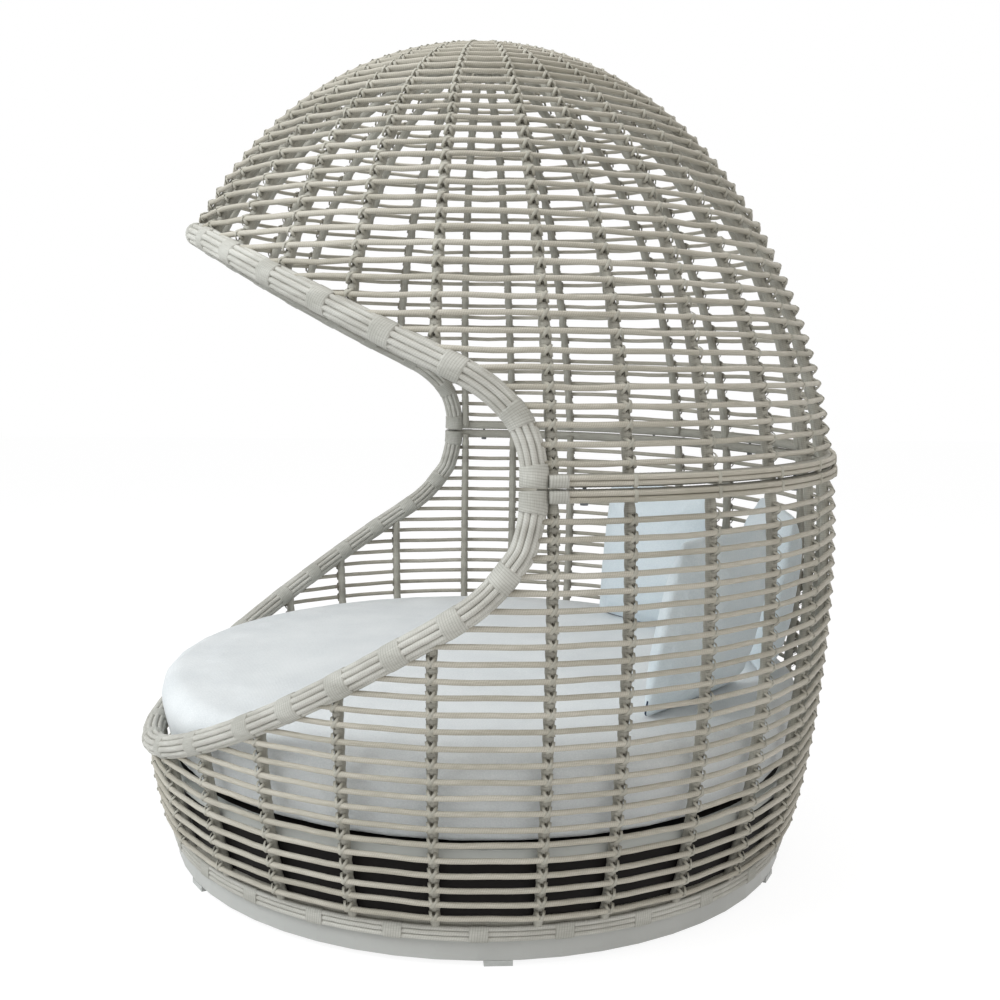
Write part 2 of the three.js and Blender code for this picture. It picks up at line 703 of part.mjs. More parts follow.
// Pillow: knife-edge square, sides drawn in between its corners, full in the middle
function pillowBody() {
  const count = pillowCells + 1;
  const points = [];
  const at = (i, j, face) => face * count * count + i * count + j;
  for (const face of [-1, 1]) {
    for (let i = 0; i < count; i += 1) {
      for (let j = 0; j < count; j += 1) {
        const u = Math.sin((i / pillowCells - 0.5) * Math.PI);
        const v = Math.sin((j / pillowCells - 0.5) * Math.PI);
        const full = ((1 - u ** pillowSquareness) * (1 - v ** pillowSquareness)) ** pillowFullness;
        const round = 1 - pillowCornerShare * (u * v) ** 2;
        const x = u * (round - pillowDrawShare * (1 - v * v)) * pillowWidth / 2;
        const y = v * (round - pillowDrawShare * (1 - u * u)) * pillowHeight / 2;
        const half = pillowSeam / 2 + full * (pillowThickness - pillowSeam) / 2;
        points.push(new THREE.Vector3(x, y + pillowHeight / 2, face * half));
      }
    }
  }
  const triangles = [];
  for (let i = 0; i < pillowCells; i += 1) {
    for (let j = 0; j < pillowCells; j += 1) {
      triangles.push([at(i, j, 1), at(i + 1, j, 1), at(i + 1, j + 1, 1)]);
      triangles.push([at(i, j, 1), at(i + 1, j + 1, 1), at(i, j + 1, 1)]);
      triangles.push([at(i, j, 0), at(i + 1, j + 1, 0), at(i + 1, j, 0)]);
      triangles.push([at(i, j, 0), at(i, j + 1, 0), at(i + 1, j + 1, 0)]);
    }
  }
  const seam = (a, b) => {
    triangles.push([at(...a, 0), at(...b, 0), at(...b, 1)], [at(...a, 0), at(...b, 1), at(...a, 1)]);
  };
  for (let i = 0; i < pillowCells; i += 1) {
    seam([i, 0], [i + 1, 0]);
    seam([pillowCells, i], [pillowCells, i + 1]);
    seam([pillowCells - i, pillowCells], [pillowCells - i - 1, pillowCells]);
    seam([0, pillowCells - i], [0, pillowCells - i - 1]);
  }
  return outward(points, triangles);
}

const pillowWall = Math.min(insideRibs(mattressTop), insideRibs(mattressTop + pillowHeight));
for (const [name, place] of Object.entries(pillowPlaces)) {
  const azimuth = turn(place.azimuth);
  const pillow = addPiece(name, pillowBody(), pillowFabric);
  const out = new THREE.Vector3(Math.cos(azimuth), Math.sin(azimuth), 0);
  const across = new THREE.Vector3(-Math.sin(azimuth), Math.cos(azimuth), 0);
  const lean = turn(place.lean);
  const rise = up.clone().multiplyScalar(Math.cos(lean)).addScaledVector(out, Math.sin(lean));
  const back = new THREE.Vector3().crossVectors(across, rise);
  pillow.quaternion.setFromRotationMatrix(new THREE.Matrix4().makeBasis(across, rise, back));
  pillow.position.copy(out).multiplyScalar(pillowWall - place.inset);
  pillow.updateMatrixWorld();
  const corners = pillow.geometry.attributes.position;
  let least = Infinity;
  for (let i = 0; i < corners.count; i += 1) {
    const corner = new THREE.Vector3().fromBufferAttribute(corners, i).applyMatrix4(pillow.matrixWorld);
    const under = mattressTop + crownAt(Math.hypot(corner.x, corner.y));
    least = Math.min(least, corner.z - under);
  }
  pillow.position.z = touchGap - least;
}

// The shell is drawn round its own axis, so the whole moves to stand over the origin
const whole = new THREE.Box3().setFromObject(daybed).getCenter(new THREE.Vector3());
for (const piece of daybed.children) piece.position.sub(whole.setZ(0));

export default daybed;
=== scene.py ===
import math
import random

import bmesh
import bpy
from mathutils import Matrix, Quaternion, Vector, noise
from mathutils.bvhtree import BVHTree
from mathutils.kdtree import KDTree


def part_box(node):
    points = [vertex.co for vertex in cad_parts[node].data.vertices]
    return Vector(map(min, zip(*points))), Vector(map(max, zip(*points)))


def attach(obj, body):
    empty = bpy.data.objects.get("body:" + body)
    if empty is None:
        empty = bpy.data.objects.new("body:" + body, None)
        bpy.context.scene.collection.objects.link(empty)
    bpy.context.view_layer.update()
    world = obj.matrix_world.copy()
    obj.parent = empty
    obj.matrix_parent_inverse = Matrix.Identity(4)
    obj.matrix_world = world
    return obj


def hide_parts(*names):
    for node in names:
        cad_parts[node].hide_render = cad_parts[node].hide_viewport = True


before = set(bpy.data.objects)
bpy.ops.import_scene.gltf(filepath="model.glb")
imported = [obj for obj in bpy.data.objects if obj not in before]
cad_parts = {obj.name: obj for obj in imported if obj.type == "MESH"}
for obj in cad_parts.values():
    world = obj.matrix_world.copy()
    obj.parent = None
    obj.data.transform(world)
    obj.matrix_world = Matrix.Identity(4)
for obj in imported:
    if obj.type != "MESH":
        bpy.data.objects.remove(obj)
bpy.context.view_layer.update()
scene = bpy.context.scene
print("frame loaded")


# numbers for the whole shell, in metres
shell = {
    "axisY": (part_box("plinth_band")[0].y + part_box("plinth_band")[1].y) / 2,
    "waistHeight": 0.997,
    "waistRadius": 0.875,
    "footRadius": 0.799,
    "footHeight": 0.057,
    "topHeight": 2.0,
    "lean": 0.018,  # the canopy leans forward this far at its top
    # out from the foot's and the waist's radius, then up from the foot, in shares of the basket's rise
    "basketHandles": ((0.0576, 0.114), (0.0465, 0.679)),
    "canopyHandle": (-0.0323, 0.424),  # out and up from the waist, in shares of the canopy's rise
    "crownHandle": 0.627,  # out from the crown, level, in shares of the waist's radius
    "ribs": 28,
    "ribDepth": 0.02365,  # middle of a rib, under the outside of the weave
    "junctionTurn": 2.4,  # degrees that the end ribs stand behind the rims
    "rod": 0.012,
    "crown": 0.14,  # length of wall that the cap covers, from its middle
}
bay = 2 * math.pi / shell["ribs"]
basketRise = shell["waistHeight"] - shell["footHeight"]
canopyRise = shell["topHeight"] - shell["waistHeight"]


def bezierTable(start, handleA, handleB, end, steps=400):
    # (length so far, radius, height) at even steps of a Bezier curve
    table = []
    length = 0.0
    before = None
    for i in range(steps + 1):
        t = i / steps
        point = start * (1 - t) ** 3 + handleA * 3 * t * (1 - t) ** 2
        point += handleB * 3 * t * t * (1 - t) + end * t ** 3
        if before is not None:
            length += (point - before).length
        table.append((length, point.x, point.y))
        before = point
    return table


def handle(start, share, base, rise):
    return Vector((start + share[0] * rise, base + share[1] * rise))


waistPoint = Vector((shell["waistRadius"], shell["waistHeight"]))
footPoint = Vector((shell["footRadius"], shell["footHeight"]))
basketProfile = bezierTable(
    footPoint,
    handle(shell["footRadius"], shell["basketHandles"][0], shell["footHeight"], basketRise),
    handle(shell["waistRadius"], shell["basketHandles"][1], shell["footHeight"], basketRise),
    waistPoint,
)
canopyProfile = bezierTable(
    waistPoint,
    handle(shell["waistRadius"], shell["canopyHandle"], shell["waistHeight"], canopyRise),
    Vector((shell["crownHandle"] * shell["waistRadius"], shell["topHeight"])),
    Vector((0.0, shell["topHeight"])),
)


def tableAt(table, value, column):
    # the table's row and slope where one of its columns reaches a value
    low, high = 0, len(table) - 1
    while high - low > 1:
        middle = (low + high) // 2
        if table[middle][column] < value:
            low = middle
        else:
            high = middle
    a, b = table[low], table[high]
    blend = (value - a[column]) / max(b[column] - a[column], 1e-9)
    point = [a[k] + (b[k] - a[k]) * blend for k in range(3)]
    slope = Vector((b[1] - a[1], b[2] - a[2])).normalized()
    return point, slope


def leanAt(height):
    # how far forward the canopy's middle stands
    climb = max(0.0, (height - shell["waistHeight"]) / canopyRise)
    return -shell["lean"] * (1 - (1 - climb) ** 2)


def levelWays(azimuth):
    # away from the middle, and round it
    away = Vector((math.cos(azimuth), math.sin(azimuth), 0))
    return away, Vector((-away.y, away.x, 0))


def shellFrame(profile, arc, azimuth, depth=shell["rod"] / 2):
    # point under the outside of the weave, with the ways out, round and up the wall
    (_, radius, height), slope = tableAt(profile, arc, 0)
    away, side = levelWays(azimuth)
    out = (away * slope.y + Vector((0, 0, -slope.x))).normalized()
    origin = away * radius + Vector((0, shell["axisY"] + leanAt(height), height)) - out * depth
    return origin, out, side, out.cross(side)


def besideRim(azimuth):
    # the two ribs at the ends of the rims stand a little behind them
    if abs(math.sin(azimuth)) > math.sin(bay / 4):
        return azimuth
    turned = math.radians(shell["junctionTurn"])
    return turned if math.cos(azimuth) > 0 else math.pi - turned


ribAzimuths = [besideRim(-math.pi / 2 + i * bay) for i in range(shell["ribs"])]

# rim paths
rims = {
    "depth": 0.014,
    "tilt": 35,  # degrees that the bundle's face turns towards the opening
    "canopyStart": 0.9995,
    "canopyRise": 0.531,
    "basketStart": 0.9945,
    "basketRise": -0.702,
    "step": 0.011,
    "traceSteps": 400,
    # forward and along the rise, in shares, from the waist to the tip
    "canopyShares": (
        (0.004, 0), (0.004, 0.08), (0.024, 0.19), (0.066, 0.284),
        (0.168, 0.397), (0.395, 0.551), (0.703, 0.768), (1, 1),
    ),
    "basketShares": (
        (0.004, 0), (0.005, 0.052), (0.02, 0.138), (0.043, 0.196), (0.133, 0.32),
        (0.328, 0.473), (0.563, 0.656), (0.821, 0.855), (1, 1),
    ),
}


def splinePoint(points, t):
    at = (len(points) - 1) * t
    i = min(int(at), len(points) - 2)
    w = at - i
    p0, p1, p2 = points[max(i - 1, 0)], points[i], points[i + 1]
    p3 = points[min(i + 2, len(points) - 1)]
    v1, v2 = (p2 - p0) / 2, (p3 - p1) / 2
    return (2 * p1 - 2 * p2 + v1 + v2) * w ** 3 + (3 * p2 - 3 * p1 - 2 * v1 - v2) * w * w + v1 * w + p1


def rimPath(profile, shares, start, rise):
    # list of (point, way out), from +X over the front to -X
    tip = start + rise
    reach = tableAt(profile, tip, 2)[0][1] - leanAt(tip)
    view = [Vector((-f * reach, start + c * rise)) for f, c in shares]
    half = []
    for i in range(rims["traceSteps"] + 1):
        forward, height = splinePoint(view, 1 - (1 - i / rims["traceSteps"]) ** 2)
        (arc, radius, _), _ = tableAt(profile, height, 2)
        turned = max(-1.0, min(1.0, (forward - leanAt(height)) / radius))
        half.append((arc, -math.pi / 2 if i == rims["traceSteps"] else math.asin(turned)))
    both = half + [(arc, math.pi - azimuth) for arc, azimuth in reversed(half[:-1])]
    path = [shellFrame(profile, arc, azimuth, rims["depth"])[:2] for arc, azimuth in both]
    return evenPath(path, rims["step"])


def evenPath(path, step):
    lengths = [0.0]
    for (a, _), (b, _) in zip(path, path[1:]):
        lengths.append(lengths[-1] + (b - a).length)
    count = round(lengths[-1] / step)
    made, at = [], 0
    for i in range(count + 1):
        goal = lengths[-1] * i / count
        while at < len(lengths) - 2 and lengths[at + 1] < goal:
            at += 1
        blend = (goal - lengths[at]) / max(lengths[at + 1] - lengths[at], 1e-9)
        made.append((
            path[at][0].lerp(path[at + 1][0], blend),
            path[at][1].lerp(path[at + 1][1], blend).normalized(),
        ))
    return made


canopyRim = rimPath(canopyProfile, rims["canopyShares"], rims["canopyStart"], rims["canopyRise"])
basketRim = rimPath(basketProfile, rims["basketShares"], rims["basketStart"], rims["basketRise"])


def rimFinder(rim):
    finder = KDTree(len(rim))
    for i, (origin, _) in enumerate(rim):
        finder.insert(origin, i)
    finder.balance()
    return finder


canopyFinder = rimFinder(canopyRim)
basketFinder = rimFinder(basketRim)


# strands and rods: a ring of points extruded from station to station
def frameMatrix(origin, across, out, along, wide=1.0, high=1.0):
    rows = [(across[k] * wide, out[k] * high, along[k], origin[k]) for k in range(3)]
    return Matrix(rows + [(0, 0, 0, 1)])


def framesAlong(stations):
    # stations are (point, way out)
    frames = []
    for i, (origin, out) in enumerate(stations):
        before = stations[max(0, i - 1)][0]
        after = stations[min(len(stations) - 1, i + 1)][0]
        along = (after - before).normalized()
        across = out.cross(along).normalized()
        frames.append(frameMatrix(origin, across, along.cross(across), along))
    return frames


def ringOf(sides, width, height, power=2.0):
    # rounded outline; the first point is on the inner side, where a pattern may meet itself
    points = []
    for i in range(sides):
        angle = -math.pi / 2 + 2 * math.pi * i / sides
        c, s = math.cos(angle), math.sin(angle)
        grow = (abs(c) ** power + abs(s) ** power) ** (-1 / power)
        points.append((c * grow * width / 2, s * grow * height / 2))
    return points


def meshFrom(bm, name):
    mesh = bpy.data.meshes.new(name)
    bm.to_mesh(mesh)
    bm.free()
    return mesh


def sweep(frames, section, closed=False):
    # the strand, with its length and its way round as UV
    bm = bmesh.new()
    uvLayer = bm.loops.layers.uv.new("strand")
    spoke = bm.verts.layers.int.new("spoke")
    station = bm.verts.layers.int.new("station")
    ring = bmesh.ops.create_circle(bm, cap_ends=not closed, segments=len(section), radius=1)["verts"]
    around = [0.0]
    for i, vert in enumerate(ring):
        vert.co = (section[i][0], section[i][1], 0)
        vert[spoke] = i
        after = section[(i + 1) % len(section)]
        around.append(around[-1] + math.dist(section[i], after))
    bmesh.ops.transform(bm, matrix=frames[0], verts=ring)
    first = list(ring)
    edges = list(bm.edges)
    lengths = [0.0]
    for i in range(1, len(frames)):
        made = bmesh.ops.extrude_edge_only(bm, edges=edges)["geom"]
        verts = [item for item in made if isinstance(item, bmesh.types.BMVert)]
        edges = [item for item in made if isinstance(item, bmesh.types.BMEdge)]
        for vert in verts:
            vert[station] = i
        bmesh.ops.transform(bm, matrix=frames[i] @ frames[i - 1].inverted(), verts=verts)
        lengths.append(lengths[-1] + (frames[i].translation - frames[i - 1].translation).length)
    for face in bm.faces:
        spokes = [loop.vert[spoke] for loop in face.loops]
        wraps = len(face.verts) == 4 and max(spokes) - min(spokes) > 1
        for loop in face.loops:
            place = loop.vert[spoke]
            u = around[len(section) if wraps and place == 0 else place]
            loop[uvLayer].uv = (u, lengths[loop.vert[station]])
    if closed:
        bmesh.ops.remove_doubles(bm, verts=first + verts, dist=1e-5)
    else:
        bmesh.ops.contextual_create(bm, geom=edges)
    bmesh.ops.recalc_face_normals(bm, faces=bm.faces)
    return meshFrom(bm, "strand")


def joinStrands(name, strands):
    bm = bmesh.new()
    for mesh in strands:
        bm.from_mesh(mesh)
        bpy.data.meshes.remove(mesh)
    return meshFrom(bm, name)


def joinStamps(name, stamps):
    # one small shape set down many times
    bm = bmesh.new()
    for mesh, matrix in stamps:
        copy = mesh.copy()
        copy.transform(matrix)
        bm.from_mesh(copy)
        bpy.data.meshes.remove(copy)
    bmesh.ops.recalc_face_normals(bm, faces=bm.faces)
    return meshFrom(bm, name)


def addPiece(name, mesh, material, body="daybed", smooth=True):
    piece = bpy.data.objects.new(name, mesh)
    scene.collection.objects.link(piece)
    mesh.materials.clear()
    mesh.materials.append(material)
    if smooth:
        mesh.shade_smooth()
    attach(piece, body)
    print("piece", name, len(mesh.polygons))
    return piece


def addStrands(name, strands, material):
    return addPiece(name, joinStrands(name, strands), material)


# finishes
def hexColour(text):
    # sRGB hex to linear
    parts = [int(text[i:i + 2], 16) / 255 for i in (1, 3, 5)]
    linear = [c / 12.92 if c <= 0.04045 else ((c + 0.055) / 1.055) ** 2.4 for c in parts]
    return (*linear, 1.0)


def addNode(tree, kind, links=None, **settings):
    node = tree.nodes.new(kind)
    for key, value in settings.items():
        setattr(node, key, value)
    for key, value in (links or {}).items():
        if isinstance(value, bpy.types.NodeSocket):
            tree.links.new(value, node.inputs[key])
        else:
            node.inputs[key].default_value = value
    return node


def startFinish(name, **values):
    material = bpy.data.materials.new(name)
    material.use_nodes = True
    tree = material.node_tree
    shader = tree.nodes["Principled BSDF"]
    for key, value in values.items():
        shader.inputs[key].default_value = value
    return material, tree, shader


def objectPlace(tree):
    return addNode(tree, "ShaderNodeTexCoord").outputs["Object"]


def objectNoise(tree, scale, detail=2.0):
    look = {"Vector": objectPlace(tree), "Scale": scale, "Detail": detail}
    return addNode(tree, "ShaderNodeTexNoise", look).outputs[0]


def drawnNoise(tree, vector, stretch, scale, detail):
    # noise drawn out along one direction
    drawn = addNode(tree, "ShaderNodeMapping", {"Vector": vector, "Scale": stretch}).outputs[0]
    look = {"Vector": drawn, "Scale": scale, "Detail": detail}
    return addNode(tree, "ShaderNodeTexNoise", look).outputs[0]


def bands(tree, vector, pitch, direction, distortion, detail, detailScale):
    # a Wave texture repeats every 2 pi / 20 at scale 1
    look = {
        "Vector": vector, "Scale": math.pi / (10 * pitch), "Distortion": distortion,
        "Detail": detail, "Detail Scale": detailScale,
    }
    return addNode(tree, "ShaderNodeTexWave", look, bands_direction=direction).outputs["Fac"]


def combine(tree, first, second, operation="ADD"):
    return addNode(tree, "ShaderNodeMath", {0: first, 1: second}, operation=operation).outputs[0]


def remap(tree, value, low, high, toLow=0.0, toHigh=1.0):
    limits = {"Value": value, "From Min": low, "From Max": high, "To Min": toLow, "To Max": toHigh}
    return addNode(tree, "ShaderNodeMapRange", limits).outputs[0]


def blendColours(tree, amount, low, high):
    # colours are hex text or sockets
    mix = addNode(tree, "ShaderNodeMix", data_type="RGBA")
    tree.links.new(amount, mix.inputs["Factor"])
    for socket, colour in (("A", low), ("B", high)):
        slot = [item for item in mix.inputs if item.name == socket and item.type == "RGBA"][0]
        if isinstance(colour, str):
            slot.default_value = hexColour(colour)
        else:
            tree.links.new(colour, slot)
    return [item for item in mix.outputs if item.type == "RGBA"][0]


def colourWith(tree, shader, amount, low, high):
    tree.links.new(blendColours(tree, amount, low, high), shader.inputs["Base Color"])


def addBumps(tree, shader, *bumps):
    # (height, strength, distance), each on top of the one before
    below = {}
    for height, strength, distance in bumps:
        look = {"Height": height, "Strength": strength, "Distance": distance}
        below = {"Normal": addNode(tree, "ShaderNodeBump", {**look, **below}).outputs[0]}
    tree.links.new(below["Normal"], shader.inputs["Normal"])


# Synthetic wicker: extruded polyethylene strand, through-coloured warm grey with streaks along it.
# Rods and ribs are wound with it edge to edge, so very fine lines run round them.
wickerLook = {
    # low and high colour, width and slant of a turn, bump of the turns, strength of the painted shade in the
    # gaps between turns
    "woundWicker": ("#a5a092", "#c9c4b8", 0.0045, 0.35, 0.0005, 0.24),
    "rimWicker": ("#acaaa2", "#cdccc5", 0.005, 0.3, 0.0004, 0.16),
    "flatWicker": ("#a3a29a", "#c4c3bc", 0.0055, 0.1, 0.0005, 0.3),
    # the sleeve on the ribs and hoop coils is a slightly greyer strand, and is made darker than the rods as
    # painted shade, because these parts sit behind the rods
    "sleeveWicker": ("#96938a", "#b9b7ad", 0.0042, 0.06, 0.0005, 0.24),
    "tieWicker": ("#9a978b", "#bdbaaf", 0.004, 0.0, 0.0001, 0.0),
    # colour of the painted shade in the gaps between turns
    "groove": "#6b6659",
}


def makeWicker(name):
    low, high, pitch, slant, depth, gap = wickerLook[name]
    material, tree, shader = startFinish(name, **{"Roughness": 0.62, "Specular IOR Level": 0.35})
    uv = addNode(tree, "ShaderNodeUVMap", uv_map="strand").outputs[0]
    tone = drawnNoise(tree, objectPlace(tree), (2.5, 2.5, 26), 1.0, 3.0)
    streak = drawnNoise(tree, uv, (900, 30, 1), 1.0, 2.0)
    turned = addNode(tree, "ShaderNodeMapping", {"Vector": uv, "Rotation": (0, 0, slant)}).outputs[0]
    turns = bands(tree, turned, pitch, "Y", 0.8, 1.0, 0.6)
    base = blendColours(tree, remap(tree, combine(tree, tone, streak), 0.75, 1.25), low, high)
    # the gaps between turns are mixed towards the painted shade colour
    colourWith(tree, shader, remap(tree, turns, 0.0, 0.4, gap, 0.0), base, wickerLook["groove"])
    addBumps(tree, shader, (turns, 0.5, depth), (streak, 0.3, 0.0004))
    return material


rodWicker = makeWicker("woundWicker")
rimWicker = makeWicker("rimWicker")
stripWicker = makeWicker("flatWicker")
sleeveWicker = makeWicker("sleeveWicker")
tieWicker = makeWicker("tieWicker")


def makePaint(name, low, high, rough):
    # polyester powder coat on aluminium: even, satin, with a faint orange peel; the same recipe also makes
    # the near-black painted shade of the lashing notches
    material, tree, shader = startFinish(name, **{"Roughness": rough, "Metallic": 0.0, "IOR": 1.5})
    colourWith(tree, shader, objectNoise(tree, 6.0, 4.0), low, high)
    addBumps(tree, shader, (objectNoise(tree, 260.0), 0.12, 0.0006))
    return material


plinthPaint = makePaint("powderCoatGrey", "#adaeab", "#c1c2be", 0.45)
framePaint = makePaint("powderCoatTaupe", "#8d887c", "#a19c90", 0.55)
# not a real coat: near-black painted shade for the gaps between the lashing strands
notchShadeFinish = makePaint("powderCoatShadowed", "#454138", "#5a564b", 0.7)
deckPaint = makePaint("powderCoatPale", "#b9bcb8", "#c6c8c4", 0.5)


def makeBoard():
    # black-faced plywood: nearly black film with a brown cast and long faint grain
    material, tree, shader = startFinish("filmFacedPly", **{"Roughness": 0.7, "Specular IOR Level": 0.25})
    grain = drawnNoise(tree, objectPlace(tree), (4, 4, 60), 2.0, 6.0)
    colourWith(tree, shader, grain, "#080605", "#15100d")
    addBumps(tree, shader, (grain, 0.3, 0.0008))
    return material


blackBoard = makeBoard()


def makeSpeckled(name, low, high, scale, detail, **values):
    material, tree, shader = startFinish(name, **values)
    colourWith(tree, shader, objectNoise(tree, scale, detail), low, high)
    return material


# zinc-plated steel has a fine spangle; moulded nylon pads are scuffed by the ground
boltSteel = makeSpeckled("zincPlatedSteel", "#57595b", "#75787a", 240.0, 3.0, Metallic=1.0, Roughness=0.38)
glideNylon = makeSpeckled("mouldedNylon", "#a9aba8", "#c8cac7", 90.0, 4.0, Roughness=0.5, IOR=1.53)


def makeCloth(name, low, high, threads, foldBump):
    # outdoor acrylic canvas, plain weave, dry and slightly fuzzy
    material, tree, shader = startFinish(
        name, **{"Roughness": 0.92, "Specular IOR Level": 0.2, "Sheen Weight": 0.15, "Sheen Roughness": 0.5},
    )
    x, y, z = (bands(tree, objectPlace(tree), threads, axis, 1.5, 2.0, 1.0) for axis in "XYZ")
    weave = combine(tree, combine(tree, x, y), z)
    mottled = combine(tree, objectNoise(tree, 7.0, 5.0), objectNoise(tree, 300.0))
    colourWith(tree, shader, remap(tree, mottled, 0.7, 1.3), low, high)
    addBumps(tree, shader, (weave, 0.35, 0.0005), (objectNoise(tree, 9.0, 3.0), 0.4, foldBump))
    return material


mattressCloth = makeCloth("canvasPaleGrey", "#d5d9db", "#e5e8e9", 0.0032, 0.003)
pillowCloth = makeCloth("canvasBlueGrey", "#d3dee4", "#e3ebef", 0.0032, 0.005)
seamCloth = makeCloth("canvasNavy", "#2c3a4f", "#41526a", 0.002, 0.0005)
print("finishes made")


# level rows of the weave
rows = {
    "basketFirst": 0.0593,
    "basketPitch": 0.0345,
    "basketLast": 0.041,  # kept clear below the waist rods
    "canopyFirst": 0.05,
    "canopyPitch": 0.0365,
    "canopyLast": 0.146,  # kept clear round the crown cap
    "sides": 8,
    "stepsPerBay": 5,
    "basketWave": 0.0016,
    "canopyWave": 0.0034,
    "flatten": 0.6,  # share of the sagitta that a rod keeps straight between two ribs
    "tuck": 0.019,  # rods end this near to the rim's middle
    "findSteps": 500,
    "bayGrain": 4.2,  # the waves change from bay to bay
    "wallGrain": 1.3,  # and, more slowly, round the wall
    "bayShare": 1.6,  # the bay's wave against the wall's
}


def rowArcs(first, pitch, last, profile):
    arcs = []
    arc = first
    while arc < profile[-1][0] - last:
        arcs.append(arc)
        arc += pitch
    return arcs


basketArcs = rowArcs(rows["basketFirst"], rows["basketPitch"], rows["basketLast"], basketProfile)
canopyArcs = rowArcs(rows["canopyFirst"], rows["canopyPitch"], rows["canopyLast"], canopyProfile)


def rowEnd(profile, arc, finder, direction):
    # azimuth at which a row meets the rim, going round from the back
    step = direction * math.pi / rows["findSteps"]
    for i in range(rows["findSteps"] + 1):
        azimuth = math.pi / 2 + step * i
        origin = shellFrame(profile, arc, azimuth)[0]
        if finder.find(origin)[2] < rows["tuck"]:
            return azimuth
    return None


def offRib(azimuth):
    # angle to the nearest rib
    return min(abs((azimuth - rib + math.pi) % (2 * math.pi) - math.pi) for rib in ribAzimuths)


def rowStations(profile, arc, azimuths, wave, seed):
    # each row reads its own slice of the noise
    stations = []
    radius = tableAt(profile, arc, 0)[0][1]
    for azimuth in azimuths:
        origin, out, _, upward = shellFrame(profile, arc, azimuth)
        away = levelWays(azimuth)[0]
        inBay = noise.noise(away * rows["bayGrain"] + Vector((0, 0, seed * 3.7)))
        onWall = noise.noise(away * rows["wallGrain"] + Vector((0, 0, seed * 9.1 + 50)))
        gap = min(offRib(azimuth), bay / 2)
        straight = rows["flatten"] * radius * (1 - math.cos(gap))
        lift = wave * (rows["bayShare"] * inBay * math.sin(math.pi * gap / bay) + onWall)
        stations.append((origin - out * straight + upward * lift, out))
    return stations


def levelFrames(stations):
    # a whole ring, which ends on its first frame
    frames = []
    for origin, out in stations[:-1]:
        along = Vector((0, 0, 1)).cross(out)
        frames.append(frameMatrix(origin, along.cross(out) * -1, out, along))
    return frames + frames[:1]


def makeRows(name, profile, arcs, finder, wave):
    # the rows, and (arc, azimuth) where they cross the ribs
    strands = []
    crossings = []
    section = ringOf(rows["sides"], shell["rod"], shell["rod"])
    for k, arc in enumerate(arcs):
        right = rowEnd(profile, arc, finder, -1)
        left = rowEnd(profile, arc, finder, 1)
        whole = right is None or left is None
        low, high = (-math.pi / 2, 1.5 * math.pi) if whole else (right, left)
        count = max(4, round((high - low) / bay * rows["stepsPerBay"]))
        azimuths = [low + (high - low) * i / count for i in range(count + 1)]
        stations = rowStations(profile, arc, azimuths, wave, k)
        frames = levelFrames(stations) if whole else framesAlong(stations)
        strands.append(sweep(frames, section, closed=whole))
        margin = 0 if whole else shell["rod"] / shell["waistRadius"]
        crossings += [(arc, azimuth) for azimuth in ribAzimuths if low + margin <= azimuth <= high - margin]
    return addStrands(name, strands, rodWicker), crossings


basketRows, basketTied = makeRows("basketRows", basketProfile, basketArcs, basketFinder, rows["basketWave"])
canopyRows, canopyTied = makeRows("canopyRows", canopyProfile, canopyArcs, canopyFinder, rows["canopyWave"])
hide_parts("basket_weave")
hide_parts("canopy_weave")


# lashings: two flat strands crossed over the rod at every rib
lashing = {
    "wide": 0.0066,
    "thick": 0.0014,
    # across the rib, up the rib, out from the rod's middle, in rod radii
    "path": ((-1.45, -2.1, -1.3), (-1.0, -1.2, 0.15), (0, 0, 1.08), (1.0, 1.2, 0.15), (1.45, 2.1, -1.3)),
    "over": 0.2,  # the upper strand passes over the other
    "tilt": 0.12,
    "spread": (0.92, 1.06),
    # dark patches between the strands, painted shade standing for the shadow in the gap over the rib
    "notch": 0.0028,
    "notchDeep": 0.0024,
    "notchShape": (0.75, 1.15, 1),
    "notchUp": 1.5,
    "notchSunk": 0.78,
}


def makeLashing():
    radius = shell["rod"] / 2
    x, y = lashing["wide"] / 2, lashing["thick"] / 2
    flat = [(-x, -y), (x, -y), (x, y), (-x, y)]
    strands = []
    for side, over in ((1, lashing["over"]), (-1, 0)):
        points = [Vector((side * x, y, z + over)) * radius for x, y, z in lashing["path"]]
        stations = []
        for i, point in enumerate(points):
            along = (points[min(i + 1, len(points) - 1)] - points[max(i - 1, 0)]).normalized()
            wide = Vector((along.y, -along.x, 0)).normalized()
            stations.append((point, wide.cross(along) * -1))
        strands.append(sweep(framesAlong(stations), flat))
    return joinStrands("lashing", strands)


def makeNotch():
    # a small flat diamond above and below the rod, which carries the painted shade of the gap between the
    # strands
    bm = bmesh.new()
    radius = shell["rod"] / 2
    low, high = lashing["notch"], lashing["notch"] / 2
    for side in (1, -1):
        made = bmesh.ops.create_cone(
            bm, cap_ends=True, segments=4, radius1=low, radius2=high, depth=lashing["notchDeep"],
        )["verts"]
        place = Vector((0, side * lashing["notchUp"], -lashing["notchSunk"])) * radius
        bmesh.ops.scale(bm, vec=lashing["notchShape"], verts=made)
        bmesh.ops.translate(bm, vec=place, verts=made)
    return meshFrom(bm, "notch")


lashingMesh = makeLashing()
notchMesh = makeNotch()


